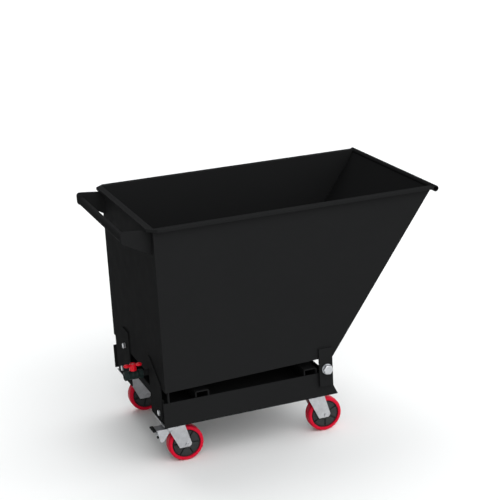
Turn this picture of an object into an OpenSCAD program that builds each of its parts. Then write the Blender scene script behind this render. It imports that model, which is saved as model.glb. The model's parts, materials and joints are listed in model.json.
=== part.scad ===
// Tipping cart with a sheet-steel tub, a low base frame and four swivel casters.
// X runs forward to the pouring lip, Y to the left side, Z up. Z = 0 is the ground.
// Inside the modules X is counted from the outer face of the tub's rear wall.

/* [Tub] */
// Outside width of the tub
tub_w = 620; // [520:10:700]
// Height of the rim above the ground
rim_z = 845; // [760:5:900]
// Height of the tub's underside at the rear wall
tub_rear_z = 283; // [275:1:300]
// Length of the tub's floor
floor_len = 600; // [590:1:610]
// Rise of the floor from the rear wall to the front
floor_rise = 16; // [8:1:18]
// Run of the sloping front wall from floor to rim
front_run = 392.5; // [340:0.5:420]
// Thickness of the tub's sheet
sheet = 3; // [2:0.5:4]
// Width of the rim's outward flange
rim_out = 20; // [15:1:25]
// Height of the rim's turned-down lip
rim_drop = 10; // [8:1:14]
// Leg of the cut corners at the rear of the rim
rim_cut = 30; // [15:1:35]
// Radius of the rolled pouring lip
lip_r = 10.5; // [7:0.5:11]
// How far the rolled lip stands above the rim
lip_lift = 3; // [0:0.5:4]

/* [Handle] */
// Outside radius of the push bar
bar_r = 13.5; // [11:0.5:16]
// Distance of the bar's axis behind the rear wall
bar_back = 84; // [70:1:95]
// Height of the bar's axis above the ground
bar_z = 811; // [790:1:815]
// Outside distance between the two side plates of the handle
handle_w = 560; // [480:10:580]
// Depth of a handle plate where it meets the wall
handle_root = 76; // [60:1:90]

/* [Base frame] */
// Outside width of the base frame
frame_w = 608; // [580:2:608]
// Height of the frame's underside, equal to the height of a caster
frame_z = 156; // [150:1:160]
// Height of a side plate
frame_h = 88; // [80:1:92]
// Thickness of the frame's plates
plate = 5; // [4:0.5:6]
// Outside size of the square cross tubes
tube = 45; // [40:1:50]
// Distance of the frame's rear end behind the rear wall
frame_back = 8; // [6:1:14]
// Slant of the frame's front end
frame_slant = 40; // [30:1:45]

/* [Tipping hinge] */
// Position of the hinge axis forward of the rear wall
hinge_x = 573; // [565:1:577]
// Height of the hinge axis
hinge_z = 261; // [259:1:264]
// Radius of the hinge bolt
bolt_r = 10; // [8:1:12]

/* [Casters] */
// Wheel radius
wheel_r = 62.5; // [60:0.5:65]
// Width of the tread
tread_w = 38; // [34:1:40]
// Radius where the tread meets the hub
hub_r = 50; // [48:0.5:52]
// Distance of the axle from the swivel axis
trail = 40; // [36:1:42]
// Swivel axis of the rear casters, forward of the rear wall
caster_rear_x = 38; // [36:1:40]
// Swivel axis of the front casters
caster_front_x = 549; // [545:1:552]
// Distance of the swivel axes from the middle plane
caster_y = 232; // [225:1:235]

/* [Drain valve] */
// Sideways place of the drain, to the right of the middle plane
drain_y = -128; // [-130:1:-60]
// Radius of the flow bore
flow_r = 7.5; // [6:0.1:7.8]

/* [Hidden] */
$fn = 64;
eps = 0.5;

BLACK = "#222325";
ZINC = "#b9bcbf";
DARK = "#2e3033";
RED = "#c8102e";

// Overall: the origin is under the middle of the whole length
handle_end_r = bar_r + 1;
nose_x = floor_len + front_run + lip_r;
mid_x = (nose_x - bar_back - handle_end_r) / 2;
lip_z = rim_z + lip_lift - lip_r;
half_w = tub_w / 2;
half_f = frame_w / 2;

// Sloping front wall: unit vector up the slope and its inward normal
floor_front_z = tub_rear_z + floor_rise;
front_rise = rim_z - floor_front_z;
front_len = norm([front_run, front_rise]);
up_x = front_run / front_len;
up_z = front_rise / front_len;

// Fasteners: across-flats sizes and thicknesses
af20 = 30;
head20 = 12.5;
nut20 = 16;
washer20_r = 18.5;
washer20_t = 3;
af12 = 18;
head12_low = 5;
nut12 = 10;
nut12_low = 4;
af8 = 13;
head8 = 5.3;
nut8 = 6.5;

// Hinge stack, counted from the middle plane outwards
hinge_plate_t = 8;
hinge_plate_w = [-27, 22];
hinge_plate_z = [-63, 75];
play = 0.4;
bush_r = 14;
ear_r = 21;
fit = 0.05;

// Rear structure
lock_gap = 1;
lock_t = 4;
lock_out = 270;
lock_in_left = 94;
lock_in_right = 146;
lock_top = 361;
lock_shoulder = [162, 297];
lock_corner = 24;
rear_half = 272;
lock_bolt_y = [203, -238];
lock_bolt_z = 188;
clamp_y = 139.5;
clamp_z = 298;
notch_half = 143;
notch_z = 218;
tube_wall = 3;
tube_z = 218;
tube_xs = [107, 497];
foot = [5, 14];
foot_x = 9;
seam = 0.2;

// Caster stack, heights above the ground
top_plate = [85, 105, 3];
hole_pitch = [52, 80];
pad_t = 5;
pad_back = 34;
pad_front = 52;
pad_inner = 175;
race_out = 32;
race_z = 141;
race_gap = 5;
race_ball_r = 2.2;
crown_z = 133.5;
crown_t = 3.5;
crown_top = crown_z + crown_t;
crown_r = 34;
king_r = 6;
leg_in = 24;
leg_t = 3;
leg_low = 54;
crease_x = 17;
crank_angle = 7;
axle_r = 5;
bearing_r = 10;
hub_len = 44;
boss_r = 17;
panel_r = 46.5;
hub_panels = 6;

// Brake, placed from the swivel axis and the ground
pin_x = -12;
pin_z = 120;
pin_r = 3;
cheek_t = 2.5;
cheek_out = 20;
shoe_x = -24.5;
shoe_z = 98;
screw_end = -50;
pedal_tip = -72;
pedal_z = 129;
pedal_t = 2.5;

// Valve, placed from the middle of its body
drain_z = tub_rear_z + sheet + flow_r + 0.3;
stub_r = 10.5;
stub_out = 23;
valve_half = 33;
valve_x = -stub_out + 2 - valve_half;
valve_r = 15.5;
valve_af = 28;
ball_r = 12;
seat_r = 11;
thread_r = 9.3;
thread_len = 13;
stem_r = 4;
stem_top_r = 3;
gland_z = 18.5;
lever_z = 30;
lever_t = 8;
lobe_x = 22.3;
nut_z = 34.5;

CASTERS = [[caster_rear_x, caster_y], [caster_rear_x, -caster_y],
    [caster_front_x, caster_y], [caster_front_x, -caster_y]];

// ---- helpers ----

// Moves the rear-wall station to its place about the origin
module stationed() {
    translate([-mid_x, 0, 0]) children();
}

// Outline in X and Z, swept in Y from y_low over a width
module sweep_y(y_low, width) {
    translate([0, y_low + width, 0]) rotate([90, 0, 0]) linear_extrude(width) children();
}

// Outline in Y and Z, swept in X from x_low over a width
module sweep_x(x_low, width) {
    translate([x_low, 0, 0]) rotate([90, 0, 90]) linear_extrude(width) children();
}

// Cylinder along Y from y_low, at a station and height
module rod_y(x, z, y_low, len, r) {
    translate([x, y_low, z]) rotate([-90, 0, 0]) cylinder(h = len, r = r);
}

// Cylinder along X from x_low, at a sideways place and height
module rod_x(y, z, x_low, len, r) {
    translate([x_low, y, z]) rotate([0, 90, 0]) cylinder(h = len, r = r);
}

// Hexagonal prism along Z, given across the flats
module hex(af, h) {
    cylinder(h = h, d = af / cos(30), $fn = 6);
}

module mirrored_y() {
    children();
    mirror([0, 1, 0]) children();
}

// Places children at the swivel axis of one caster
module at_caster(c) {
    stationed() translate([c[0], c[1], 0]) children();
}

// ---- tub ----

// Plan outline of the rim, drawn in by t from its outer edge
function rim_plan(t) =
    let (x0 = -rim_out + t, y1 = half_w + rim_out - t, k = t * (sqrt(2) - 1),
        x1 = floor_len + front_run)
    [[x0, y1 - rim_cut + t - k], [x0 + rim_cut - t + k, y1], [x1, y1],
        [x1, -y1], [x0 + rim_cut - t + k, -y1], [x0, -y1 + rim_cut - t + k]];

module rim() {
    translate([0, 0, rim_z - sheet]) linear_extrude(sheet) difference() {
        polygon(rim_plan(0));
        translate([1, 1 - half_w]) square([floor_len + front_run, tub_w - 2]);
    }
    translate([0, 0, rim_z - rim_drop]) linear_extrude(rim_drop) difference() {
        polygon(rim_plan(0));
        polygon(rim_plan(sheet));
    }
}

// Part of the rim that is folded out of the left side panel
module side_rim() {
    seam_y = half_w - 10;
    far = floor_len + front_run - sheet;
    intersection() {
        rim();
        translate([0, 0, rim_z - 2 * rim_drop]) linear_extrude(3 * rim_drop)
            polygon([[-2 * rim_out, seam_y], [0, seam_y], [0, half_w - sheet],
                [far, half_w - sheet], [far, half_w + 2 * rim_out],
                [-2 * rim_out, half_w + 2 * rim_out]]);
    }
}

module side_panel() {
    lip_x = floor_len + front_run;
    sweep_y(half_w - sheet, sheet) polygon([[0, tub_rear_z], [floor_len, floor_front_z],
        [lip_x - (rim_z - lip_z) * up_x / up_z, lip_z], [lip_x, rim_z], [0, rim_z]]);
    side_rim();
}

module side_panel_left() {
    color(BLACK) stationed() difference() {
        side_panel();
        lip_space();
    }
}

module side_panel_right() {
    color(BLACK) stationed() mirror([0, 1, 0]) difference() {
        side_panel();
        lip_space();
    }
}

// Room that the rolled lip takes out of the side panels
module lip_space() {
    rod_y(floor_len + front_run, lip_z, -tub_w, 2 * tub_w, lip_r);
}

module rear_wall() {
    seam_y = half_w - 10;
    color(BLACK) stationed() difference() {
        union() {
            translate([0, sheet - half_w, tub_rear_z])
                cube([sheet, tub_w - 2 * sheet, rim_z - tub_rear_z]);
            intersection() {
                rim();
                translate([-2 * rim_out, -seam_y, rim_z - 2 * rim_drop])
                    cube([2 * rim_out + sheet, 2 * seam_y, 3 * rim_drop]);
            }
        }
        rod_x(drain_y, drain_z, -sheet, 3 * sheet, stub_r + fit);
    }
}

module front_wall() {
    lip_x = floor_len + front_run;
    run = (rim_z - lip_z) * up_x / up_z;
    color(BLACK) stationed() {
        difference() {
            sweep_y(sheet - half_w, tub_w - 2 * sheet) polygon([[floor_len, floor_front_z],
                [lip_x - run, lip_z], [lip_x - run - sheet / up_z, lip_z],
                [floor_len - sheet / up_z, floor_front_z]]);
            lip_space();
        }
        difference() {
            rod_y(lip_x, lip_z, -half_w - rim_out, tub_w + 2 * rim_out, lip_r);
            rod_y(lip_x, lip_z, -tub_w, 2 * tub_w, lip_r - sheet);
        }
    }
}

module floor_plate() {
    slope = floor_rise / floor_len;
    front = floor_len - sheet / up_z - seam;
    color(BLACK) stationed() sweep_y(sheet - half_w, tub_w - 2 * sheet)
        polygon([[sheet, tub_rear_z + sheet * slope], [front, tub_rear_z + front * slope],
            [front + sheet * up_x / up_z, tub_rear_z + front * slope + sheet],
            [sheet, tub_rear_z + sheet * slope + sheet]]);
}

module rest_feet() {
    bottom = frame_z + frame_h + play;
    color(BLACK) stationed() mirrored_y() translate([foot_x, half_f - foot[1] + 2, bottom])
        cube([foot[0], foot[1], tub_rear_z - bottom + foot_x * floor_rise / floor_len]);
}

module handle_bar() {
    len = handle_w - 2 * plate;
    color(BLACK) stationed() difference() {
        rod_y(-bar_back, bar_z, -len / 2, len, bar_r);
        rod_y(-bar_back, bar_z, -len / 2 - 1, len + 2, bar_r - 2.5);
    }
}

module handle_plates() {
    top = rim_z - rim_drop - eps;
    high = top + 6;
    end_x = -bar_back - handle_end_r;
    round_r = 10;
    color(BLACK) stationed() mirrored_y() sweep_y(handle_w / 2 - plate, plate) {
        translate([-bar_back, bar_z]) circle(r = handle_end_r);
        translate([end_x + round_r, high - round_r]) circle(r = round_r);
        polygon([[end_x, bar_z], [end_x, high - round_r], [end_x + round_r, high - round_r],
            [end_x + round_r, high], [end_x + 2 * round_r, high], [-rim_out - 1, top],
            [0, top], [0, bar_z + handle_end_r - handle_root],
            [-bar_back - 0.47 * handle_end_r, bar_z - 0.88 * handle_end_r]]);
    }
}

module hinge_plates() {
    color(BLACK) stationed() mirrored_y() difference() {
        sweep_y(half_w, hinge_plate_t) translate([hinge_x, hinge_z])
            polygon([[hinge_plate_w[0], hinge_plate_z[0]], [hinge_plate_w[1], hinge_plate_z[0]],
                [hinge_plate_w[1], hinge_plate_z[1]], [hinge_plate_w[0], hinge_plate_z[1]]]);
        rod_y(hinge_x, hinge_z, half_w - 1, hinge_plate_t + 2, bush_r);
    }
}

module hinge_bushes() {
    color("#a8843c") stationed() mirrored_y() difference() {
        rod_y(hinge_x, hinge_z, half_w, hinge_plate_t, bush_r);
        rod_y(hinge_x, hinge_z, half_w - 1, hinge_plate_t + 2, bolt_r + fit);
    }
}

// ---- drain valve ----

module at_valve() {
    stationed() translate([valve_x, drain_y, drain_z]) children();
}

module drain_stub() {
    color(BLACK) stationed() difference() {
        rod_x(drain_y, drain_z, -stub_out, stub_out + sheet, stub_r);
        rod_x(drain_y, drain_z, -stub_out - 1, stub_out + sheet + 2, flow_r);
    }
}

module valve_body() {
    end = 15;
    color(DARK) at_valve() difference() {
        union() {
            for (side = [-1, 1])
                translate([side * (valve_half - end / 2) - end / 2, 0, 0])
                    rotate([0, 90, 0]) hex(valve_af, end);
            rod_x(0, 0, -valve_half + 1, 2 * valve_half - 2, valve_af / 2 - 0.3);
            rod_x(0, 0, -14.5, 29, valve_r);
            cylinder(h = gland_z, r = 7.5);
        }
        rod_x(0, 0, -valve_half - 1, thread_len + 1, thread_r);
        rod_x(0, 0, valve_half - 2, 3, stub_r + fit);
        rod_x(0, 0, -valve_half, 2 * valve_half, flow_r);
        rod_x(0, 0, -12.8, 25.6, seat_r + 2 * fit);
        sphere(r = ball_r + 0.3);
        cylinder(h = gland_z + 1, r = stem_r + 2 * fit);
    }
}

module valve_seats() {
    color("white") at_valve() for (side = [-1, 1]) difference() {
        rod_x(0, 0, side * 11.3 - 1.4, 2.8, seat_r);
        rod_x(0, 0, side * 11.3 - 3, 6, flow_r);
    }
}

module valve_gland() {
    color(ZINC) at_valve() translate([0, 0, gland_z]) difference() {
        hex(af8, 3.5);
        translate([0, 0, -1]) cylinder(h = 6, r = stem_r + 2 * fit);
    }
}

module valve_ball() {
    color("#d8dadc") at_valve() difference() {
        sphere(r = ball_r);
        rod_x(0, 0, -20, 40, flow_r);
        translate([-3, -1.8, ball_r - 2.5]) cube([6, 3.6, 4]);
    }
}

module valve_stem() {
    color(ZINC) at_valve() {
        translate([-2.9, -1.7, ball_r - 2.4]) cube([5.8, 3.4, 3.5]);
        translate([0, 0, ball_r + 0.3]) cylinder(h = lever_z - ball_r - 0.3 + eps, r = stem_r);
        translate([0, 0, lever_z]) cylinder(h = 9.7, r = stem_top_r);
    }
}

// Butterfly lever with a skirt that covers the gland
module valve_lever() {
    skirt_z = 17;
    skirt_r = 12.5;
    hub_top = 41;
    web = 15;
    color(RED) at_valve() difference() {
        union() {
            translate([0, 0, skirt_z]) cylinder(h = hub_top - skirt_z, r = skirt_r);
            translate([-lobe_x, -web / 2, lever_z + eps]) cube([2 * lobe_x, web, lever_t - eps]);
            for (side = [-1, 1])
                translate([side * lobe_x, 0, lever_z - 1]) cylinder(h = 11, r = 9.5);
        }
        translate([0, 0, skirt_z - 1]) cylinder(h = lever_z + eps - skirt_z + 1, r = 8.5);
        cylinder(h = nut_z + 1, r = stem_top_r);
        translate([0, 0, nut_z]) cylinder(h = 8, r = 6.8);
    }
}

module valve_lever_nut() {
    color(ZINC) at_valve() translate([0, 0, nut_z]) difference() {
        hex(10, 4.5);
        translate([0, 0, -1]) cylinder(h = 8, r = stem_top_r);
    }
}

// ---- base frame ----

module frame_side() {
    top = frame_z + frame_h;
    front = hinge_x + 44;
    difference() {
        sweep_y(half_f - plate, plate) {
            polygon([[-frame_back, frame_z], [front, frame_z], [front - frame_slant, top],
                [-frame_back, top]]);
            polygon([[hinge_x - ear_r, top - 2 * eps], [front - frame_slant, top - 2 * eps],
                [hinge_x + ear_r, hinge_z], [hinge_x - ear_r, hinge_z]]);
            translate([hinge_x, hinge_z]) circle(r = ear_r);
        }
        rod_y(hinge_x, hinge_z, half_f - 2 * plate, 3 * plate, bolt_r + fit);
    }
}

module frame_side_left() {
    color(BLACK) stationed() frame_side();
}

module frame_side_right() {
    color(BLACK) stationed() mirror([0, 1, 0]) frame_side();
}

module frame_rear_plate() {
    color(BLACK) stationed() difference() {
        sweep_x(-lock_gap, plate) difference() {
            translate([-rear_half, frame_z + 1]) square([2 * rear_half, frame_h]);
            translate([-notch_half, frame_z - 1])
                square([2 * notch_half, notch_z - frame_z + 1]);
        }
        for (y = lock_bolt_y) rod_x(y, lock_bolt_z, -plate, 3 * plate, king_r + fit);
    }
}

module frame_front_plate() {
    inner = half_f - plate;
    foot_x1 = hinge_x + 44;
    color(BLACK) stationed() sweep_y(-inner, 2 * inner)
        polygon([[foot_x1, frame_z], [foot_x1 - frame_slant, frame_z + frame_h],
            [foot_x1 - frame_slant - plate, frame_z + frame_h], [foot_x1 - plate, frame_z]]);
}

// Closes the frame's top between the rear and the front plate, under the cross tubes
module deck_plate() {
    inner = half_f - plate;
    low = tube_z - plate;
    slant = frame_slant / frame_h;
    front = hinge_x + 44 - plate + frame_z * slant;
    color(BLACK) stationed() sweep_y(-inner, 2 * inner)
        polygon([[plate - lock_gap, low], [front - low * slant, low],
            [front - tube_z * slant, tube_z], [plate - lock_gap, tube_z]]);
}

module cross_tubes() {
    inner = half_f - plate;
    color(BLACK) stationed() for (x = tube_xs) sweep_y(-inner, 2 * inner) difference() {
        translate([x, tube_z]) square(tube);
        translate([x + tube_wall, tube_z + tube_wall]) square(tube - 2 * tube_wall);
    }
}

module bolt_places() {
    for (sx = [-1, 1], sy = [-1, 1])
        translate([sx * hole_pitch[0] / 2, sy * hole_pitch[1] / 2, 0]) children();
}

module caster_pads() {
    reach = half_f - plate - caster_y;
    color(BLACK) for (c = CASTERS) at_caster(c) difference() {
        low = c[1] > 0 ? pad_inner - caster_y : -reach;
        translate([-pad_back, low, frame_z])
            cube([pad_back + pad_front, reach + caster_y - pad_inner, pad_t]);
        bolt_places() translate([0, 0, frame_z - 1]) cylinder(h = pad_t + 2, r = 4.5);
        translate([0, 0, frame_z - 1]) cylinder(h = pad_t + 2, r = 11);
    }
}

// Upright plate that guides the rear wall, bolted to the frame's rear plate
module lock_plate(inner) {
    low = frame_z + 1.5;
    sweep_x(-lock_gap - lock_t, lock_t)
        polygon([[inner, low], [lock_out - lock_corner, low], [lock_out, low + lock_corner],
            [lock_out, lock_shoulder[1]], [lock_shoulder[0], lock_top], [inner, lock_top]]);
}

module lock_plate_left() {
    color(BLACK) stationed() difference() {
        lock_plate(lock_in_left);
        rod_x(lock_bolt_y[0], lock_bolt_z, -3 * lock_t, 6 * lock_t, king_r + fit);
        rod_x(clamp_y, clamp_z, -3 * lock_t, 6 * lock_t, king_r);
    }
}

module lock_plate_right() {
    color(BLACK) stationed() difference() {
        mirror([0, 1, 0]) lock_plate(lock_in_right);
        rod_x(lock_bolt_y[1], lock_bolt_z, -3 * lock_t, 6 * lock_t, king_r + fit);
    }
}

module lock_bolts() {
    face = -lock_gap - lock_t;
    color(ZINC) stationed() for (y = lock_bolt_y) translate([face, y, lock_bolt_z])
        rotate([0, 90, 0]) {
            translate([0, 0, -head12_low]) hex(af12, head12_low);
            translate([0, 0, -eps]) cylinder(h = lock_t + plate + nut12 + 2, r = king_r);
            translate([0, 0, lock_t + plate]) difference() {
                hex(af12, nut12);
                translate([0, 0, -1]) cylinder(h = nut12 + 2, r = king_r + fit);
            }
        }
}

module clamp_bolt() {
    face = -lock_gap - lock_t;
    color(ZINC) stationed() translate([face, clamp_y, clamp_z]) rotate([0, 90, 0]) {
        translate([0, 0, -nut12_low - eps - head12_low]) hex(af12, head12_low);
        difference() {
            translate([0, 0, -nut12_low]) hex(af12, nut12_low);
            translate([0, 0, -nut12_low - 1]) cylinder(h = nut12_low + 2, r = king_r + fit);
        }
        translate([0, 0, -nut12_low - 1]) cylinder(h = nut12_low + 1 + lock_t + 0.6, r = king_r);
    }
}

// ---- tipping hinge fasteners, outwards from the frame's side plate ----

head_y = half_w + hinge_plate_t + play + washer20_t;

module at_hinge() {
    stationed() translate([hinge_x, 0, hinge_z]) mirrored_y() rotate([-90, 0, 0]) children();
}

module hinge_bolts() {
    color(ZINC) at_hinge() {
        translate([0, 0, head_y]) hex(af20, head20);
        translate([0, 0, half_f - plate - nut20 - 4]) cylinder(
            h = head_y - half_f + plate + nut20 + 4 + eps, r = bolt_r);
    }
}

module hinge_washers() {
    spacer = half_w - half_f - play;
    color(ZINC) at_hinge() for (w = [[half_f, spacer], [head_y - washer20_t, washer20_t]])
        translate([0, 0, w[0]]) difference() {
            cylinder(h = w[1], r = washer20_r);
            translate([0, 0, -1]) cylinder(h = w[1] + 2, r = bolt_r + fit);
        }
}

module hinge_nuts() {
    color(ZINC) at_hinge() translate([0, 0, half_f - plate - nut20]) difference() {
        hex(af20, nut20);
        translate([0, 0, -1]) cylinder(h = nut20 + 2, r = bolt_r + fit);
    }
}

// ---- casters ----

module caster_plates() {
    plate_z = frame_z - top_plate[2];
    color(ZINC) for (c = CASTERS) at_caster(c) difference() {
        union() {
            translate([-top_plate[0] / 2, -top_plate[1] / 2, plate_z]) cube(top_plate);
            translate([0, 0, race_z + race_gap])
                cylinder(h = plate_z - race_z - race_gap + eps, r = race_out);
        }
        bolt_places() translate([0, 0, plate_z - 1]) cylinder(h = 6, r = 4.5);
        cylinder(h = frame_z + 1, r = king_r + fit);
    }
}

module caster_bolts() {
    plate_z = frame_z - top_plate[2];
    grip = top_plate[2] + pad_t;
    color(ZINC) for (c = CASTERS) at_caster(c) bolt_places() translate([0, 0, plate_z]) {
        translate([0, 0, -head8]) hex(af8, head8);
        translate([0, 0, -eps]) cylinder(h = grip + nut8 + 2.5, r = 4);
        translate([0, 0, grip]) difference() {
            hex(af8, nut8);
            translate([0, 0, -1]) cylinder(h = nut8 + 2, r = 4 + fit);
        }
    }
}

module kingpins() {
    color(ZINC) for (c = CASTERS) at_caster(c) {
        translate([0, 0, frame_z]) cylinder(h = 5, r = 9);
        translate([0, 0, crown_z - 7]) cylinder(h = frame_z - crown_z + 7 + eps, r = king_r);
        translate([0, 0, crown_z - 7.5]) hex(af12, 7);
    }
}

module ball_races() {
    balls = 16;
    ring_r = 24;
    color(ZINC) for (c = CASTERS) at_caster(c) {
        for (i = [0 : balls - 1]) rotate(i * 360 / balls)
            translate([ring_r, 0, race_z + race_gap / 2]) sphere(r = race_ball_r, $fn = 24);
        translate([0, 0, race_z + race_gap / 2 - 0.8]) difference() {
            cylinder(h = 1.6, r = ring_r + 1.7);
            translate([0, 0, -1]) cylinder(h = 4, r = ring_r - 1.7);
        }
    }
}

// Flat part of a fork leg, in X and Z from the swivel axis
module leg_flat() {
    polygon([[crease_x, crown_top], [36, crown_top], [56, 66], [54, 59], [48, leg_low],
        [crease_x, leg_low]]);
}

// Cranked part of a fork leg, in X and Z from the crease
module leg_crank() {
    polygon([[-43, crown_top], [0, crown_top], [0, leg_low], [-4, leg_low]]);
}

module fork(braked) {
    difference() {
        union() {
            translate([0, 0, crown_z]) cylinder(h = crown_t, r = crown_r);
            translate([0, 0, crown_top - eps]) difference() {
                cylinder(h = race_z - crown_top + eps, r = 29);
                translate([0, 0, 1]) cylinder(h = 20, r = 19);
            }
            translate([-24, -leg_in - leg_t, crown_z])
                cube([60, 2 * (leg_in + leg_t), crown_t]);
            mirrored_y() {
                sweep_y(leg_in, leg_t) leg_flat();
                translate([crease_x, leg_in, 0]) rotate([0, 0, -crank_angle])
                    sweep_y(0, leg_t) leg_crank();
            }
        }
        translate([0, 0, crown_z - 5]) cylinder(h = 20, r = king_r + fit);
        rod_y(trail, wheel_r, -50, 100, axle_r + fit);
        if (braked) rod_y(pin_x, pin_z, -50, 100, pin_r + fit);
    }
}

// Riveted axle and, on a braked caster, the pivot pin of the brake
module axle(braked) {
    grip = leg_in + leg_t;
    translate([trail, 0, wheel_r]) rotate([90, 0, 0]) {
        cylinder(h = 2 * grip + 2 * eps, r = axle_r, center = true);
        for (side = [0, 180]) rotate([side, 0, 0]) translate([0, 0, grip])
            cylinder(h = 3, r1 = axle_r + 2.5, r2 = axle_r + 1);
    }
    if (braked) translate([pin_x, 0, pin_z]) rotate([90, 0, 0]) {
        cylinder(h = 2 * leg_in + 16, r = pin_r, center = true);
        for (side = [-1, 1]) translate([0, 0, side * (leg_in + 8.5)])
            cylinder(h = 2, r = 5.5, center = true);
    }
}

module hub() {
    web = 24;
    panel = 31;
    slot = 2.6;
    translate([trail, 0, wheel_r]) rotate([90, 0, 0]) difference() {
        union() {
            cylinder(h = hub_len, r = boss_r, center = true);
            cylinder(h = web, r = hub_r, center = true);
            cylinder(h = panel, r = panel_r, center = true);
        }
        for (i = [0 : hub_panels - 1], side = [-1, 1]) rotate(i * 360 / hub_panels)
            translate([boss_r + 1, -slot / 2, side * panel / 2 - 3]) cube([hub_r, slot, 6]);
        cylinder(h = hub_len + 2, r = bearing_r, center = true);
    }
}

module tread() {
    h = tread_w / 2;
    round = 5;
    translate([trail, 0, wheel_r]) rotate([90, 0, 0]) rotate_extrude() {
        translate([hub_r, -h]) square([wheel_r - hub_r - round, tread_w]);
        translate([hub_r, round - h]) square([wheel_r - hub_r, tread_w - 2 * round]);
        for (side = [-1, 1]) translate([wheel_r - round, side * (h - round)]) circle(r = round);
    }
}

module bearing() {
    translate([trail, 0, wheel_r]) rotate([90, 0, 0]) difference() {
        cylinder(h = hub_len, r = bearing_r, center = true);
        cylinder(h = hub_len + 2, r = axle_r + fit, center = true);
    }
}

// Section of the pedal's tread plate in X and Z
module pedal_plate() {
    drop = 1.8;
    front = -20;
    polygon([[pedal_tip, pedal_z], [front, pedal_z - drop],
        [front, pedal_z - drop + pedal_t], [pedal_tip, pedal_z + pedal_t]]);
}

module brake_lever() {
    difference() {
        union() {
            rod_y(pin_x, pin_z, -cheek_out, 2 * cheek_out, 5.5);
            mirrored_y() sweep_y(cheek_out - cheek_t, cheek_t)
                polygon([[pin_x - 5, pin_z - 4], [pin_x, pin_z + 6], [-20, 129],
                    [pedal_tip + 14, 131], [pedal_tip + 14, 124], [-50, 86], [-40, 86]]);
            sweep_y(-cheek_out, 2 * cheek_out) pedal_plate();
            translate([-47, -cheek_out, 86]) cube([cheek_t, 2 * cheek_out, 20]);
            rod_x(0, shoe_z, screw_end, shoe_x - screw_end - 4, 3.5);
            rod_x(0, shoe_z, shoe_x - 6, 5, 9);
        }
        rod_y(pin_x, pin_z, -30, 60, pin_r + fit);
    }
}

module brake_caps() {
    cap = [12, 2 * cheek_out + 4, 6];
    difference() {
        translate([pedal_tip - 2, -cap[1] / 2, pedal_z - 1.8]) cube(cap);
        sweep_y(-cheek_out, 2 * cheek_out) pedal_plate();
    }
    rod_x(0, shoe_z, screw_end - 6, 6, 4.5);
    translate([shoe_x - 1, -10, shoe_z - 7]) cube([3, 20, 14]);
}

module fork_rear_left() { color(ZINC) at_caster(CASTERS[0]) fork(false); }
module axle_rear_left() { color(ZINC) at_caster(CASTERS[0]) axle(false); }
module hub_rear_left() { color(DARK) at_caster(CASTERS[0]) hub(); }
module tread_rear_left() { color(RED) at_caster(CASTERS[0]) tread(); }
module bearing_rear_left() { color(ZINC) at_caster(CASTERS[0]) bearing(); }

module fork_rear_right() { color(ZINC) at_caster(CASTERS[1]) fork(true); }
module axle_rear_right() { color(ZINC) at_caster(CASTERS[1]) axle(true); }
module hub_rear_right() { color(DARK) at_caster(CASTERS[1]) hub(); }
module tread_rear_right() { color(RED) at_caster(CASTERS[1]) tread(); }
module bearing_rear_right() { color(ZINC) at_caster(CASTERS[1]) bearing(); }

module fork_front_left() { color(ZINC) at_caster(CASTERS[2]) fork(true); }
module axle_front_left() { color(ZINC) at_caster(CASTERS[2]) axle(true); }
module hub_front_left() { color(DARK) at_caster(CASTERS[2]) hub(); }
module tread_front_left() { color(RED) at_caster(CASTERS[2]) tread(); }
module bearing_front_left() { color(ZINC) at_caster(CASTERS[2]) bearing(); }

module fork_front_right() { color(ZINC) at_caster(CASTERS[3]) fork(false); }
module axle_front_right() { color(ZINC) at_caster(CASTERS[3]) axle(false); }
module hub_front_right() { color(DARK) at_caster(CASTERS[3]) hub(); }
module tread_front_right() { color(RED) at_caster(CASTERS[3]) tread(); }
module bearing_front_right() { color(ZINC) at_caster(CASTERS[3]) bearing(); }

module brake_lever_rear_right() { color(ZINC) at_caster(CASTERS[1]) brake_lever(); }
module brake_caps_rear_right() { color(DARK) at_caster(CASTERS[1]) brake_caps(); }
module brake_lever_front_left() { color(ZINC) at_caster(CASTERS[2]) brake_lever(); }
module brake_caps_front_left() { color(DARK) at_caster(CASTERS[2]) brake_caps(); }

side_panel_left();
side_panel_right();
rear_wall();
front_wall();
floor_plate();
rest_feet();
handle_bar();
handle_plates();
hinge_plates();
hinge_bushes();
drain_stub();
valve_body();
valve_seats();
valve_gland();
valve_ball();
valve_stem();
valve_lever();
valve_lever_nut();
frame_side_left();
frame_side_right();
frame_rear_plate();
frame_front_plate();
deck_plate();
cross_tubes();
caster_pads();
lock_plate_left();
lock_plate_right();
lock_bolts();
clamp_bolt();
hinge_bolts();
hinge_washers();
hinge_nuts();
caster_plates();
caster_bolts();
kingpins();
ball_races();
fork_rear_left();
axle_rear_left();
hub_rear_left();
tread_rear_left();
bearing_rear_left();
fork_rear_right();
axle_rear_right();
hub_rear_right();
tread_rear_right();
bearing_rear_right();
fork_front_left();
axle_front_left();
hub_front_left();
tread_front_left();
bearing_front_left();
fork_front_right();
axle_front_right();
hub_front_right();
tread_front_right();
bearing_front_right();
brake_lever_rear_right();
brake_caps_rear_right();
brake_lever_front_left();
brake_caps_front_left();
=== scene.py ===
import json
import math

import bpy
from mathutils import Matrix, Vector


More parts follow.
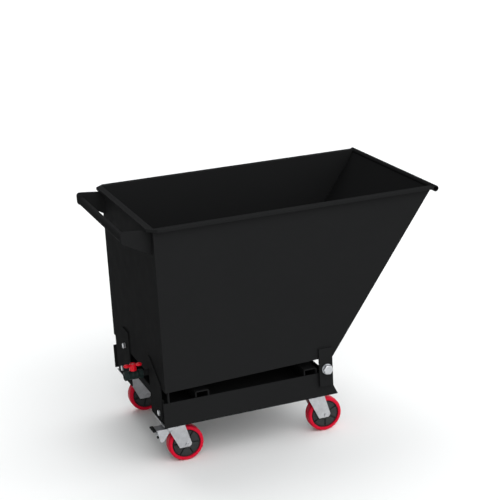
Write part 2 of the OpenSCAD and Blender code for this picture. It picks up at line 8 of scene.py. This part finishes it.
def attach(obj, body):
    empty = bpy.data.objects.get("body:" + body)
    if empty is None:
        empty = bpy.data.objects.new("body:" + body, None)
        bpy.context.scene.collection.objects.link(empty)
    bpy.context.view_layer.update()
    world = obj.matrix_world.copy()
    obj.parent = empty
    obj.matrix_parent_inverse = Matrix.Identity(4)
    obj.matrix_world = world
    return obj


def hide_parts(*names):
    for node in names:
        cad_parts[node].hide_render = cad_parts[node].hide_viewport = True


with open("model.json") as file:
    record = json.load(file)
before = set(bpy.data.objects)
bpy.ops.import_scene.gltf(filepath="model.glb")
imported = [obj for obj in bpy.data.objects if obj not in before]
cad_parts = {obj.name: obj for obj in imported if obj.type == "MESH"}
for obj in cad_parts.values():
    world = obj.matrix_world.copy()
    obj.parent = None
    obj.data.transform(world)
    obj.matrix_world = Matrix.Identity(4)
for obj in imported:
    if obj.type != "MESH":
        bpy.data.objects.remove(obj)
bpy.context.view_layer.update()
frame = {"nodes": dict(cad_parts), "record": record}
NODES = frame["nodes"]
SLOTS = {s["node"]: s["material_slot"] for s in frame["record"]["subparts"]}
MM = 0.001
scene = bpy.context.scene


# ---------------------------------------------------------------- camera

def make_camera():
    """Camera solved from the cart's edges: angles in radians, place in metres."""
    yaw, pitch, roll = 0.3514, 0.3038, -0.0559
    place = Vector((-1.5980, -4.3132, 2.0603))
    focal = 1376.28 / 500  # focal length over the frame's width
    level = math.cos(pitch)
    forward = Vector((math.sin(yaw) * level, math.cos(yaw) * level, -math.sin(pitch)))
    right = Vector((math.cos(yaw), -math.sin(yaw), 0))
    up = right.cross(forward)
    rolled_right = math.cos(roll) * right + math.sin(roll) * up
    rolled_up = -math.sin(roll) * right + math.cos(roll) * up
    cam = bpy.data.cameras.new("camera")
    cam.sensor_width = 36
    cam.lens = focal * cam.sensor_width
    cam.clip_end = 200
    ob = bpy.data.objects.new("camera", cam)
    rot = Matrix((rolled_right, rolled_up, -forward)).transposed()
    ob.matrix_world = Matrix.Translation(place) @ rot.to_4x4()
    scene.collection.objects.link(ob)
    scene.camera = ob


make_camera()


# ---------------------------------------------------------------- materials

class Nodes:
    """A small wrapper that adds shader nodes to one material."""

    def __init__(self, name):
        self.mat = bpy.data.materials.new(name)
        self.mat.use_nodes = True
        self.tree = self.mat.node_tree
        self.bsdf = self.tree.nodes["Principled BSDF"]
        self.coord = self.add("ShaderNodeTexCoord").outputs["Object"]

    def add(self, kind, **values):
        n = self.tree.nodes.new(kind)
        for k, v in values.items():
            setattr(n, k, v)
        return n

    def link(self, a, b):
        self.tree.links.new(a, b)

    def noise(self, scale, detail=3.0, rough=0.55, vector=None):
        n = self.add("ShaderNodeTexNoise")
        n.inputs["Scale"].default_value = scale
        n.inputs["Detail"].default_value = detail
        n.inputs["Roughness"].default_value = rough
        self.link(vector or self.coord, n.inputs["Vector"])
        return n.outputs["Fac"]

    def ramp(self, fac, stops):
        n = self.add("ShaderNodeValToRGB")
        while len(n.color_ramp.elements) < len(stops):
            n.color_ramp.elements.new(0.5)
        for e, (p, c) in zip(n.color_ramp.elements, stops):
            e.position = p
            e.color = (*c, 1) if len(c) == 3 else c
        self.link(fac, n.inputs["Fac"])
        return n.outputs["Color"]

    def grey(self, fac, stops):
        return self.ramp(fac, [(p, (v, v, v)) for p, v in stops])

    def mix(self, fac, a, b):
        n = self.add("ShaderNodeMix", data_type="RGBA")
        for socket, value in zip((n.inputs[0], n.inputs[6], n.inputs[7]), (fac, a, b)):
            if hasattr(value, "is_linked") or hasattr(value, "links"):
                self.link(value, socket)
            else:
                socket.default_value = value
        return n.outputs[2]

    def bump(self, height, strength, distance, normal=None):
        n = self.add("ShaderNodeBump")
        n.inputs["Strength"].default_value = strength
        n.inputs["Distance"].default_value = distance
        self.link(height, n.inputs["Height"])
        if normal:
            self.link(normal, n.inputs["Normal"])
        return n.outputs["Normal"]

    def edges(self, radius):
        """1 on convex and concave edges, 0 on flat faces."""
        b = self.add("ShaderNodeBevel", samples=4)
        b.inputs["Radius"].default_value = radius
        g = self.add("ShaderNodeNewGeometry")
        d = self.add("ShaderNodeVectorMath", operation="DOT_PRODUCT")
        self.link(b.outputs["Normal"], d.inputs[0])
        self.link(g.outputs["Normal"], d.inputs[1])
        m = self.add("ShaderNodeMapRange")
        m.inputs["From Min"].default_value = 0.985
        m.inputs["From Max"].default_value = 0.8
        self.link(d.outputs["Value"], m.inputs["Value"])
        return m.outputs["Result"]

    def put(self, name, value):
        s = self.bsdf.inputs[name]
        if hasattr(value, "links"):
            self.link(value, s)
        else:
            s.default_value = value


def paint(name, dark, light, spec, rough=(0.42, 0.56), edge_wear_and_highlight=(0.024, 0.024, 0.025)):
    """Powder coat: orange peel, faint dust clouds, and paler edges that are part wear and part painted
    edge highlight.
    """
    n = Nodes(name)
    cloud = n.noise(5.0, 4)
    base = n.mix(cloud, (*dark, 1), (*light, 1))
    scuff = n.grey(n.noise(55.0, 6, 0.7), [(0.60, 0.0), (0.78, 1.0)])
    # painted edge highlight: edges get a paler colour, broken up by noise like wear, which stands in
    # for the light that catches the edges
    edge = n.edges(1.4 * MM)
    edge_wear_and_highlight_mask = n.add("ShaderNodeMath", operation="MULTIPLY")
    n.link(edge, edge_wear_and_highlight_mask.inputs[0])
    n.link(n.grey(n.noise(38.0, 5, 0.65), [(0.42, 0.15), (0.66, 0.9)]), edge_wear_and_highlight_mask.inputs[1])
    colour = n.mix(edge_wear_and_highlight_mask.outputs[0], base, (*edge_wear_and_highlight, 1))
    n.put("Base Color", colour)
    n.put("Roughness", n.grey(n.noise(22.0, 5), [(0.3, rough[0]), (0.7, rough[1])]))
    n.put("Specular IOR Level", spec)
    peel = n.noise(900.0, 2, 0.5)
    fine = n.bump(peel, 0.22, 0.15 * MM)
    n.put("Normal", n.bump(scuff, 0.08, 0.1 * MM, fine))
    return n.mat


def zinc(name, tint=(0.56, 0.57, 0.59), rough=(0.28, 0.46)):
    """Bright metal plate: cloudy crystals and fine rolling marks."""
    n = Nodes(name)
    cloud = n.noise(60.0, 5, 0.6)
    dark = tuple(0.80 * c for c in tint)
    n.put("Base Color", n.ramp(cloud, [(0.30, dark), (0.70, tint)]))
    n.put("Metallic", 1.0)
    n.put("Roughness", n.grey(n.noise(140.0, 5, 0.7), [(0.3, rough[0]), (0.72, rough[1])]))
    brushed = n.add("ShaderNodeMapping")
    brushed.inputs["Scale"].default_value = (120, 120, 2200)
    n.link(n.coord, brushed.inputs["Vector"])
    lines = n.noise(1.0, 2, 0.5, brushed.outputs["Vector"])
    n.put("Normal", n.bump(lines, 0.12, 0.05 * MM, n.bump(n.noise(700.0, 3), 0.1, 0.06 * MM)))
    return n.mat


def plastic(name, dark, light, rough=(0.38, 0.55), grain=1600.0, depth=0.12, spec=0.4, coat=0.0,
        bumpy=0.25):
    """Moulded, cast or enamelled surface with a fine grain; depth is in millimetres."""
    n = Nodes(name)
    n.put("Base Color", n.mix(n.noise(70.0, 4), (*dark, 1), (*light, 1)))
    n.put("Roughness", n.grey(n.noise(180.0, 4), [(0.3, rough[0]), (0.7, rough[1])]))
    n.put("Specular IOR Level", spec)
    if coat:
        n.put("Coat Weight", coat)
        n.put("Coat Roughness", 0.12)
    n.put("Normal", n.bump(n.noise(grain, 3, 0.6), bumpy, depth * MM))
    return n.mat


MATS = {
    "black_paint": paint("black_powder_coat", (0.0118, 0.0120, 0.0123), (0.0132, 0.0134, 0.0137),
        0.0008),
    "zinc": zinc("zinc_plate"),
    "bronze": zinc("bronze_bush", (0.55, 0.36, 0.14), (0.2, 0.35)),
    "valve_casting": plastic("dark_casting", (0.004, 0.010, 0.0092), (0.007, 0.015, 0.0138),
        rough=(0.4, 0.6), grain=1100.0, depth=0.35, spec=0.12, bumpy=0.5),
    "seat_white": plastic("white_seat", (0.78, 0.78, 0.75), (0.85, 0.85, 0.83)),
    "ball_chrome": zinc("polished_ball", (0.8, 0.8, 0.82), (0.05, 0.12)),
    "lever_red": plastic("red_enamel", (0.50, 0.002, 0.010), (0.60, 0.004, 0.016),
        rough=(0.3, 0.42), grain=500.0, depth=0.1, spec=0.16, coat=0.08, bumpy=0.2),
    "hub_grey": plastic("hub_polyamide", (0.017, 0.0185, 0.019), (0.027, 0.0285, 0.029),
        rough=(0.45, 0.62), grain=1500.0, depth=0.2, spec=0.2, bumpy=0.4),
    "tread_red": plastic("red_polyurethane", (0.46, 0.002, 0.018), (0.56, 0.004, 0.028),
        rough=(0.35, 0.5), grain=900.0, spec=0.10),
    "cap_black": plastic("black_grip", (0.006, 0.007, 0.007), (0.010, 0.011, 0.011),
        rough=(0.5, 0.7), grain=1300.0, depth=0.25, spec=0.1, bumpy=0.5),
}


# ---------------------------------------------------------------- CAD nodes

def dress(ob, slot, width):
    """Material, softened edges and clean shading for one CAD node; width is in millimetres."""
    ob.data.materials.clear()
    ob.data.materials.append(MATS[slot])
    for p in ob.data.polygons:
        p.use_smooth = True
    weld = ob.modifiers.new("weld", "WELD")
    weld.merge_threshold = 0.00001
    flat = ob.modifiers.new("flat", "DECIMATE")
    flat.decimate_type = "DISSOLVE"
    flat.angle_limit = math.radians(0.5)
    bevel = ob.modifiers.new("bevel", "BEVEL")
    bevel.width = width * MM
    bevel.segments = 2
    bevel.limit_method = "ANGLE"
    bevel.angle_limit = math.radians(35)
    bevel.use_clamp_overlap = True
    normals = ob.modifiers.new("normals", "WEIGHTED_NORMAL")
    normals.keep_sharp = True
    normals.weight = 60


SOFT_EDGE = {"black_paint": 0.9, "zinc": 0.5, "valve_casting": 0.8, "hub_grey": 0.7}
for name, ob in NODES.items():
    dress(ob, SLOTS[name], SOFT_EDGE.get(SLOTS[name], 0.4))


# ---------------------------------------------------------------- modelled details

# Lengths are in millimetres, x counted forward from the rear wall, y to the left, z up.
TAU = 2 * math.pi
MID = 452.25  # the frame's origin
CASTERS = {"rear_left": (38, 232), "rear_right": (38, -232), "front_left": (549, 232),
    "front_right": (549, -232)}
AXLE_X, AXLE_Z = 40, 62.5  # wheel axle ahead of the kingpin, and above the ground
PLATE_Z = 153  # underside of the caster plates
SHOE_Z = 98  # the brakes' adjusting screw
HINGE_X, HINGE_Z = 573, 261
VALVE = (-54, -128, 293.8)
WHEEL_TURN = (0.3, -0.04, 0.9, 0.5)


def place(origin, axis=(0, 0, 1), turn=0.0):
    """Matrix in millimetres that sets a piece built along +Z at an origin, along an axis."""
    rot = Vector((0, 0, 1)).rotation_difference(Vector(axis)).to_matrix().to_4x4()
    return Matrix.Translation(origin) @ rot @ Matrix.Rotation(turn, 4, "Z")


def piece(name, parts, slot, body, nodes=(), sharp=38):
    """One object from several (vertices, faces, matrix) parts, in station millimetres."""
    verts, faces = [], []
    for part_verts, part_faces, matrix in parts:
        base = len(verts)
        verts += [tuple((matrix @ Vector(v) - Vector((MID, 0, 0))) * MM) for v in part_verts]
        faces += [tuple(i + base for i in f) for f in part_faces]
    mesh = bpy.data.meshes.new(name)
    mesh.from_pydata(verts, [], faces)
    mesh.validate()
    mesh.polygons.foreach_set("use_smooth", [True] * len(mesh.polygons))
    mesh.set_sharp_from_angle(angle=math.radians(sharp))
    mesh.materials.append(MATS[slot])
    ob = bpy.data.objects.new(name, mesh)
    scene.collection.objects.link(ob)
    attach(ob, body)
    if nodes:
        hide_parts(*nodes)
    return ob


HERE = Matrix.Identity(4)


def put(shape, matrix=HERE):
    return (*shape, matrix)


def smooth(a, b, x):
    t = min(1.0, max(0.0, (x - a) / (b - a)))
    return t * t * (3 - 2 * t)


def rings_to_mesh(rings, closed=False):
    """Quads between rings of equal length; a ring of one vertex is a pole."""
    verts, starts, faces = [], [], []
    for ring in rings:
        starts.append(len(verts))
        verts += ring
    pairs = list(zip(range(len(rings)), range(1, len(rings))))
    if closed:
        pairs.append((len(rings) - 1, 0))
    for a, b in pairs:
        na, nb = len(rings[a]), len(rings[b])
        for i in range(max(na, nb)):
            j = (i + 1) % max(na, nb)
            if na == 1:
                faces.append((starts[a], starts[b] + i, starts[b] + j))
            elif nb == 1:
                faces.append((starts[a] + i, starts[b], starts[a] + j))
            else:
                faces.append((starts[a] + i, starts[b] + i, starts[b] + j, starts[a] + j))
    return verts, faces


def lathe(profile, steps=48, closed=False):
    """Profile of (radius, height) turned about Z."""
    rings = []
    for radius, z in profile:
        if radius < 1e-6:
            rings.append([(0, 0, z)])
            continue
        angles = [TAU * i / steps for i in range(steps)]
        rings.append([(radius * math.cos(a), radius * math.sin(a), z) for a in angles])
    return rings_to_mesh(rings, closed)


def hexagon(af, low, high, bore=0.0, both=False, dish=0.0):
    """Hexagon head or nut from low to high, with the turned chamfer of a real one."""
    steps, slope = 72, 0.577
    round_r = 0.475 * af

    def ring(z, radius=None, fall=0.0):
        """Circle of a radius, or the hexagon itself, whose corners fall away from z."""
        out = []
        for i in range(steps):
            a = TAU * i / steps
            flat = af / 2 / math.cos((a + math.pi / 6) % (math.pi / 3) - math.pi / 6)
            r = flat if radius is None else radius
            out.append((r * math.cos(a), r * math.sin(a), z - (flat - round_r) * fall))
        return out

    rings = [ring(high, round_r), ring(high, fall=slope)]
    if both:
        rings += [ring(low, fall=-slope), ring(low, round_r)]
    else:
        rings += [ring(low)]
    if bore:
        rim, lead = 1.12 * bore, 0.12 * bore
        rings = [ring(high, rim)] + rings + [ring(low, rim)]
        rings += [ring(low + lead, bore), ring(high - lead, bore)]
        return rings_to_mesh(rings, closed=True)
    inner = [ring(high - dish, 0.62 * round_r)] if dish else []
    return rings_to_mesh([[(0, 0, high - dish)]] + inner + rings + [[(0, 0, low)]])


def rod(radius, low, high):
    chamfer = 0.6
    return lathe([(0, low), (radius - chamfer, low), (radius, low + chamfer), (radius, high - chamfer),
        (radius - chamfer, high), (0, high)], 32)


def threaded(radius, low, high, pitch):
    """Rod end with thread grooves, drawn as rings."""
    profile = [(0, low), (radius - 0.6, low)]
    z = low
    while z < high - pitch:
        profile += [(radius - 0.05, z + 0.35 * pitch), (radius - 0.05, z + 0.55 * pitch),
            (radius - 0.75, z + pitch)]
        z += pitch
    profile += [(radius - 0.9, high), (0, high)]
    return lathe(profile, 32)


RIPPLE = 0.16  # height of the weld pool's scales, of the bead's radius


def bead(start, end, radius):
    """Weld bead along a straight seam, as a part in place: round, with the weld pool's scales."""
    pitch, sides = 2.6, 10
    a, b = Vector(start), Vector(end)
    length = (b - a).length
    steps = max(2, int(length / (pitch / 3)))
    along = (b - a).normalized()
    side = along.orthogonal().normalized()
    other = along.cross(side)
    angles = [TAU * i / sides for i in range(sides)]
    rings = []
    for k in range(steps):
        t = length * k / steps
        scale = 1 + RIPPLE * (abs(math.sin(math.pi * t / pitch)) - 0.5) + 0.05 * math.sin(t * 0.31)
        mid = a.lerp(b, k / steps)
        rings.append([tuple(mid + radius * scale * (math.cos(q) * side + math.sin(q) * other))
            for q in angles])
    return put(rings_to_mesh([[tuple(a)]] + rings + [[tuple(b)]]))


def ring_bead(radius, thick, count=44):
    """Weld bead round a tube, about Z at the height 0."""
    angles = [TAU * i / 8 for i in range(8)]
    rings = []
    for k in range(count * 3):
        a = TAU * k / (count * 3)
        t = thick * (1 + RIPPLE * (abs(math.sin(a * count / 2)) - 0.5))
        section = [(radius + t * math.cos(q), t * math.sin(q)) for q in angles]
        rings.append([(r * math.cos(a), r * math.sin(a), z) for r, z in section])
    return rings_to_mesh(rings, closed=True)


# Fasteners -----------------------------------------------------------------

def fasteners():
    parts = []
    for side in (-1, 1):
        at = place((HINGE_X, 0, HINGE_Z), (0, side, 0), 0.35)
        parts += [put(hexagon(30, 321.4, 333.9, dish=0.5), at), put(rod(10, 294, 321.9), at),
            put(threaded(10, 279, 294.2, 2.2), at)]
    piece("hinge_bolt_heads", parts, "zinc", "frame", ["hinge_bolts"])

    nut = hexagon(30, 283, 299, bore=10.05, both=True)
    parts = [put(nut, place((HINGE_X, 0, HINGE_Z), (0, side, 0))) for side in (-1, 1)]
    piece("hinge_lock_nuts", parts, "zinc", "frame", ["hinge_nuts"])

    parts = []
    for y, turn in ((203, 0.3), (-238, 0.1)):
        at = place((-5, y, 188), (-1, 0, 0), turn)
        parts += [put(hexagon(18, 0, 5, dish=0.3), at), put(threaded(6, -21, 0.3, 1.75), at),
            put(hexagon(18, -19, -9, bore=6.05, both=True), at)]
    piece("lock_bolt_set", parts, "zinc", "frame", ["lock_bolts"])

    at = place((-5, 139.5, 298), (-1, 0, 0), 0.5)
    parts = [put(hexagon(18, 4.5, 9.5, dish=0.3), at), put(hexagon(18, 0, 4, bore=6.05, both=True), at),
        put(threaded(6, -4.6, 4.8, 1.75), at)]
    piece("clamp_screw", parts, "zinc", "frame", ["clamp_bolt"])

    parts = []
    for cx, cy in CASTERS.values():
        for i, (sx, sy) in enumerate(((-1, -1), (-1, 1), (1, -1), (1, 1))):
            hole = (cx + 26 * sx, cy + 40 * sy, PLATE_Z)
            at, down = place(hole, (0, 0, 1), 0.4 * i), place(hole, (0, 0, -1), 0.3 * i)
            parts += [put(hexagon(13, 0, 5.3, dish=0.25), down), put(threaded(4, -0.2, 17, 1.25), at),
                put(hexagon(13, 8, 14.5, bore=4.05, both=True), at)]
    piece("caster_bolt_set", parts, "zinc", "frame", ["caster_bolts"])


# Valve ---------------------------------------------------------------------

def superellipse(hx, hy, power, steps):
    """Outline between an ellipse and a rectangle, with half widths hx and hy."""
    out = []
    for i in range(steps):
        c, s = math.cos(TAU * i / steps), math.sin(TAU * i / steps)
        out.append((math.copysign(abs(c) ** (2 / power), c) * hx,
            math.copysign(abs(s) ** (2 / power), s) * hy))
    return out


def butterfly():
    """Two thumb lobes with a waist between them, lofted along X."""
    rings = []
    count, half_x = 40, 31.8
    for k in range(count + 1):
        x = half_x * math.sin((-1 + 2 * k / count) * math.pi / 2)
        tip = math.sqrt(max(0.0, 1 - max(0.0, (abs(x) - 22.3) / 9.5) ** 2))
        lobe = smooth(10.5, 20.5, abs(x))
        half_y = max(0.05, (7.2 + 2.3 * lobe) * tip)
        top = 37.6 + 2.4 * lobe - 5.0 * (1 - tip)
        low = 30.6 - 1.6 * lobe + 5.0 * (1 - tip)
        mid, half_z = (top + low) / 2, (top - low) / 2
        rings.append([(x, y, mid + z) for y, z in superellipse(half_y, half_z, 2.6, 28)])
    return rings_to_mesh([[(-half_x, 0, 34.5)]] + rings + [[(half_x, 0, 34.5)]])


def valve():
    at = place(VALVE)
    along = at @ Matrix.Rotation(math.pi / 2, 4, "Y")
    back = at @ Matrix.Rotation(-math.pi / 2, 4, "Y")
    half = [(7.5, 20), (10.6, 20), (10.6, 21), (13.6, 20.6), (13.6, 19), (13.3, 18.2), (13.5, 16.6),
        (14.6, 15.2), (15.3, 14.2), (15.5, 13.2), (15.2, 12.6), (15.2, 1.2), (15.5, 0.6)]
    shell = [(r, -z) for r, z in half] + half[::-1]
    neck = [(4.1, 9), (9.8, 9), (9.4, 14.6), (8.0, 16.2), (7.5, 18.1), (7.1, 18.5), (4.1, 18.5)]
    thread = [(9.3 - 0.6 * (i % 2), 20.2 + 0.9 * i) for i in range(13)]
    parts = [put(lathe(shell, 56, closed=True), along),
        put(hexagon(28, 18, 33, bore=10.55, both=True), along),
        put(hexagon(28, 18, 33, bore=9.3, both=True), back),
        put(lathe(neck, 40, closed=True), at),
        put(lathe([(10.0, 20.2)] + thread + [(10.0, 31.2)], 40, closed=True), back)]
    piece("valve_casting_shell", parts, "valve_casting", "tub", ["valve_body"])

    piece("valve_gland_nut", [put(hexagon(13, 18.5, 22, bore=4.1), at)], "zinc", "tub", ["valve_gland"])
    hub = [(8.5, 17.4), (8.9, 17), (12.1, 17), (12.5, 17.4), (12.5, 24), (12.2, 30), (11.4, 37),
        (10.8, 39.6), (9.8, 40.8), (9.0, 41), (7.4, 41), (6.8, 40.4), (6.8, 34.5), (3, 34.5),
        (3, 30.5), (8.5, 30.5)]
    piece("valve_wing", [put(butterfly(), at), put(lathe(hub, 56, closed=True), at)], "lever_red",
        "valve_handle", ["valve_lever"])
    piece("valve_wing_nut", [put(hexagon(10, 34.5, 39, bore=3.02, both=True), at)], "zinc",
        "valve_handle", ["valve_lever_nut"])


# Wheels --------------------------------------------------------------------

def hub_shape():
    """Moulded hub: a boss and six flush panels parted by narrow slots, the same on both sides."""
    radii = [10, 10.6, 12, 14.6, 15.6, 16.4, 17.0, 17.4, 18.2, 19.2, 20.4, 22, 25, 28, 31, 34, 37, 40,
        43, 44.6, 45.6, 46.2, 46.8, 47.2, 48, 49.2, 50]
    steps, panel_angle = 288, TAU / 6

    def height(r, a):
        if r <= 17.4:
            chamfers = -0.6 * smooth(10.8, 10, r) - 1.0 * smooth(15.4, 17.2, r)
            return 22 + chamfers - 6.0 * smooth(17.0, 17.5, r)
        across = r * math.sin(min(a % panel_angle, panel_angle - a % panel_angle))
        panel = smooth(1.1, 2.3, across) * smooth(18.0, 20.2, r) * smooth(47.0, 45.4, r)
        dome = 1.2 * math.sin(math.pi * min(1, max(0, (r - 18) / 29))) * smooth(1.1, 9, across)
        rim = 2.2 * smooth(46.8, 48.0, r)
        return 9.5 + panel * (5.6 + dome) + rim

    top, low = [], []
    angles = [TAU * i / steps for i in range(steps)]
    for r in radii:
        ring = [(r * math.cos(a), r * math.sin(a), height(r, a)) for a in angles]
        top.append(ring)
        low.append([(x, y, -z) for x, y, z in ring])
    return rings_to_mesh(top + low[::-1], closed=True)


def tread_shape():
    """Cast tread with rounded shoulders, a fine parting line and two shallow moulding steps."""
    half = [(50, 15.2), (50.0, 18.2), (50.6, 18.9), (51.6, 19.0), (55.5, 18.7), (58.0, 18.0),
        (60.0, 16.6), (61.4, 14.6), (62.1, 12.2), (62.4, 8.0), (62.5, 1.2), (62.3, 0.35)]
    return lathe(half + [(r, -z) for r, z in half[::-1]], 160, closed=True)


def wheels():
    hub, tread = hub_shape(), tread_shape()
    seal = [(5.05, 0), (5.6, -0.5), (9.3, -0.5), (9.9, 0), (9.9, 0.5), (5.05, 0.5)]
    for turn, (key, (cx, cy)) in zip(WHEEL_TURN, CASTERS.items()):
        at = place((cx + AXLE_X, cy, AXLE_Z), (0, -1, 0)) @ Matrix.Rotation(turn, 4, "Z")
        body = "wheel_" + key
        piece("moulded_hub_" + key, [put(hub, at)], "hub_grey", body, ["hub_" + key])
        piece("cast_tread_" + key, [put(tread, at)], "tread_red", body, ["tread_" + key], 50)
        parts = []
        for side in (-1, 1):
            outside = place((cx + AXLE_X, cy + side * 22.2, AXLE_Z), (0, -side, 0))
            parts.append(put(lathe(seal, 40, closed=True), outside))
        piece("bearing_seal_" + key, parts, "zinc", body)


# Brakes --------------------------------------------------------------------

def grip(cx, cy):
    """Rubber cap on the pedal's tip, with four grip ribs across it, for the caster at cx, cy."""
    outline = [(-74, 128.1), (-73.2, 127.2), (-62.8, 127.0), (-62, 127.7), (-62, 131.8), (-62.7, 132.5)]
    for k in range(4):
        x = -63.3 - 2.5 * k
        outline += [(x, 132.5), (x - 0.5, 133.3), (x - 1.2, 133.3), (x - 1.7, 132.5)]
    outline += [(-73.4, 132.4), (-74, 131.7)]
    rings = []
    for y, inset in ((-22, 1.0), (-21.6, 0.4), (-20.8, 0.0), (20.8, 0.0), (21.6, 0.4), (22, 1.0)):
        rings.append([(cx - 68 + (x + 68) * (1 - inset / 8), cy + y, 130 + (z - 130) * (1 - inset / 4))
            for x, z in outline])
    ends = [[(cx - 68, cy - 22, 130)], [(cx - 68, cy + 22, 130)]]
    return rings_to_mesh([ends[0]] + rings + [ends[1]])


def brakes():
    for key in ("rear_right", "front_left"):
        cx, cy = CASTERS[key]
        knob = [(0, 0), (4.1, 0), (4.5, 0.5), (4.5, 5.2), (3.8, 6), (0, 6)]
        shoe = [(0, 0), (9.2, 0), (10, 0.6), (10, 2.4), (9.4, 3), (0, 3)]
        knob_at = place((cx - 50, cy, SHOE_Z), (-1, 0, 0))
        shoe_at = place((cx - 25.5, cy, SHOE_Z), (1, 0, 0)) @ Matrix.Diagonal((0.7, 1, 1, 1))
        parts = [put(grip(cx, cy)), put(lathe(knob, 32), knob_at), put(lathe(shoe, 36), shoe_at)]
        piece("pedal_grip_" + key, parts, "cap_black", "brake_" + key, ["brake_caps_" + key])


# Welds ---------------------------------------------------------------------

def welds():
    seam_y, tub_y, frame_y = 306.6, 310.2, 298.7  # tub's inner corner, its outer face, frame's face
    front_top = 600 + 392.5 * (828 - 299) / 546 - 4
    parts = []
    for side in (-1, 1):
        y = side * seam_y
        parts += [bead((3.4, y, 287), (3.4, y, 840), 1.9), bead((3.4, y, 286.4), (597, y, 302.2), 1.9),
            bead((597.2, y, 303), (front_top, y, 828), 1.9)]
        y = side * tub_y
        parts += [bead((x, y, 300), (x, y, 336), 2.1) for x in (545.8, 595.2)]
        parts.append(bead((546, y, 336.2), (595, y, 336.2), 2.1))
        parts += [bead((-0.4, side * y, 752), (-0.4, side * y, 832), 2.0) for y in (274.8, 280.2)]
        parts.append(put(ring_bead(13.9, 1.5), place((-84, side * 274.6, 811), (0, 1, 0))))
    parts += [bead((3.4, -306, 286.4), (3.4, 306, 286.4), 1.9),
        bead((597.0, -306, 302.0), (597.0, 306, 302.0), 1.9),
        put(ring_bead(10.9, 1.4, count=34), place((-0.3, VALVE[1], VALVE[2]), (1, 0, 0)))]
    piece("tub_welds", parts, "black_paint", "tub", sharp=80)

    parts = []
    for side in (-1, 1):
        y = side * frame_y
        parts += [bead((x, y, 219), (x, y, 262), 1.8) for x in (106.6, 152.4, 496.6, 542.4)]
        parts += [bead((x, y, z), (x + 45, y, z), 1.8) for z in (218, 263.2) for x in (107, 497)]
        parts += [bead((4.3, side * 148, 212.7), (4.3, side * 270, 212.7), 1.8),
            bead((4.4, y, 212.6), (584, y, 212.6), 1.8), bead((609, y, 160), (588, y, 208), 1.8)]
    piece("frame_welds", parts, "black_paint", "frame", sharp=80)


fasteners()
valve()
wheels()
brakes()
welds()


# ---------------------------------------------------------------- floor and light

def make_floor():
    size = 60.0
    corners = [(-size, -size, 0), (size, -size, 0), (size, size, 0), (-size, size, 0)]
    mesh = bpy.data.meshes.new("floor")
    mesh.from_pydata(corners, [], [(0, 1, 2, 3)])
    floor = bpy.data.objects.new("floor", mesh)
    scene.collection.objects.link(floor)
    n = Nodes("pale_floor")
    tones = [(0.3, (0.86, 0.865, 0.86)), (0.7, (0.88, 0.885, 0.88))]
    n.put("Base Color", n.ramp(n.noise(0.6, 3), tones))
    n.put("Roughness", 0.9)
    n.put("Specular IOR Level", 0.0)
    mesh.materials.append(n.mat)


def make_sky():
    """Soft light that weakens toward the cart's rear; the sky itself is seen plain and pale."""
    world = bpy.data.worlds.new("soft_sky")
    world.use_nodes = True
    nodes, links = world.node_tree.nodes, world.node_tree.links
    bg = nodes["Background"]
    bg.inputs["Color"].default_value = (0.97, 0.985, 1.0, 1)
    axes = nodes.new("ShaderNodeSeparateXYZ")
    links.new(nodes.new("ShaderNodeTexCoord").outputs["Generated"], axes.inputs[0])
    soft = nodes.new("ShaderNodeMapRange")
    for socket, value in (("From Min", -0.8), ("From Max", 0.1), ("To Min", 0.07), ("To Max", 0.82)):
        soft.inputs[socket].default_value = value
    links.new(axes.outputs["X"], soft.inputs["Value"])
    shown = nodes.new("ShaderNodeMath")
    shown.operation = "MAXIMUM"
    links.new(soft.outputs["Result"], shown.inputs[0])
    links.new(nodes.new("ShaderNodeLightPath").outputs["Is Camera Ray"], shown.inputs[1])
    links.new(shown.outputs[0], bg.inputs["Strength"])
    scene.world = world


def make_lights():
    # name, tilt and turn in degrees, power, spread in degrees
    lights = (("key", -30, -11, 1.0, 45), ("fill", 58, 8, 1.95, 70), ("side", 64, 88, 0.85, 70))
    for name, tilt, turn, power, spread in lights:
        light = bpy.data.lights.new(name, "SUN")
        light.energy = power
        light.angle = math.radians(spread)
        ob = bpy.data.objects.new(name, light)
        ob.rotation_euler = (math.radians(tilt), 0, math.radians(turn))
        scene.collection.objects.link(ob)


make_floor()
make_sky()
make_lights()
scene.view_settings.view_transform = "Standard"
